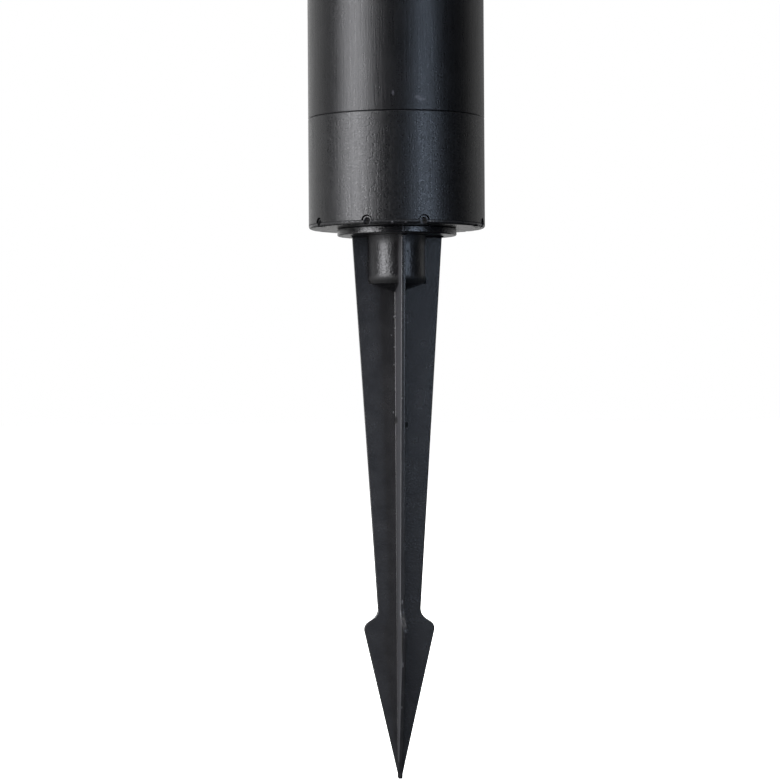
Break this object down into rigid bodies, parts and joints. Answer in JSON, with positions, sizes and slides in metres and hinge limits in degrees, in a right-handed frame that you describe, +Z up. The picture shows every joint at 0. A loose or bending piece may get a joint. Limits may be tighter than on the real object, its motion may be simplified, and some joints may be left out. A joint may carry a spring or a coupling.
{
  "type": "solar bollard light",
  "caption": "Slim round black solar garden light: a plain tube and collar with a clear lens and panel-topped head, standing on a finned, barbed ground spike.",
  "frame": {"origin": "centre of the underside of the spike's flange, on the axis, at the level of the soil", "axes": "+Z up along the column; the spike's fins lie along X and Y"},
  "size_m": [0.06, 0.06, 0.5865],
  "materials": {
    "black_nylon": "satin moulded black, fine spark-eroded grain",
    "black_abs": "satin moulded black, fine grain",
    "black_rubber": "matt",
    "bright_plating": "vacuum-plated mirror",
    "zinc_steel": "bright zinc",
    "clear_lens": "clear polished",
    "clear_cover": "clear flat",
    "board_green": "solder mask",
    "board_white": "white solder mask",
    "silicon": "dark blue cells",
    "tinned_copper": "tinned strip",
    "part_black": "moulded component body",
    "battery_can": "sleeved can",
    "white_abs": "matt white moulding",
    "led_yellow": "phosphor in clear resin",
    "red_insulation": "wire insulation",
    "black_insulation": "wire insulation"
  },
  "bodies": {
    "spike": {"ground_spike": "black_nylon"},
    "column": {"base_plate": "black_abs", "base_collar": "black_abs", "column_tube": "black_abs", "lens_seat": "black_abs", "seat_oring": "black_rubber", "reflector": "bright_plating", "reflector_screw": "zinc_steel", "lens": "clear_lens"},
    "head": {"head_oring": "black_rubber", "head_housing": "black_abs", "panel_backing": "board_green", "solar_cells": "silicon", "cell_ribbons": "tinned_copper", "panel_cover": "clear_cover", "charge_board": "board_green", "board_parts": "part_black", "board_screws": "zinc_steel", "battery_cell": "battery_can", "battery_tray": "black_abs", "battery_contacts": "tinned_copper", "led_carrier": "white_abs", "carrier_screws": "zinc_steel", "led_board": "board_white", "led_chips": "led_yellow", "switch_body": "part_black", "panel_lead_red": "red_insulation", "battery_lead_red": "red_insulation", "led_lead_red": "red_insulation", "panel_lead_black": "black_insulation", "battery_lead_black": "black_insulation", "led_lead_black": "black_insulation"},
    "button": {"switch_button": "black_rubber"}
  },
  "joints": [
    {"name": "column_lift", "type": "slide", "parent": "spike", "child": "column", "axis": [0, 0, 1], "range_m": [0, 0.02]},
    {"name": "head_lift", "type": "slide", "parent": "column", "child": "head", "axis": [0, 0, 1], "range_m": [0, 0.02]},
    {"name": "switch_press", "type": "slide", "parent": "head", "child": "button", "axis": [0, 0, 1], "range_m": [0, 0.0015], "stiffness_N_per_m": 400}
  ]
}
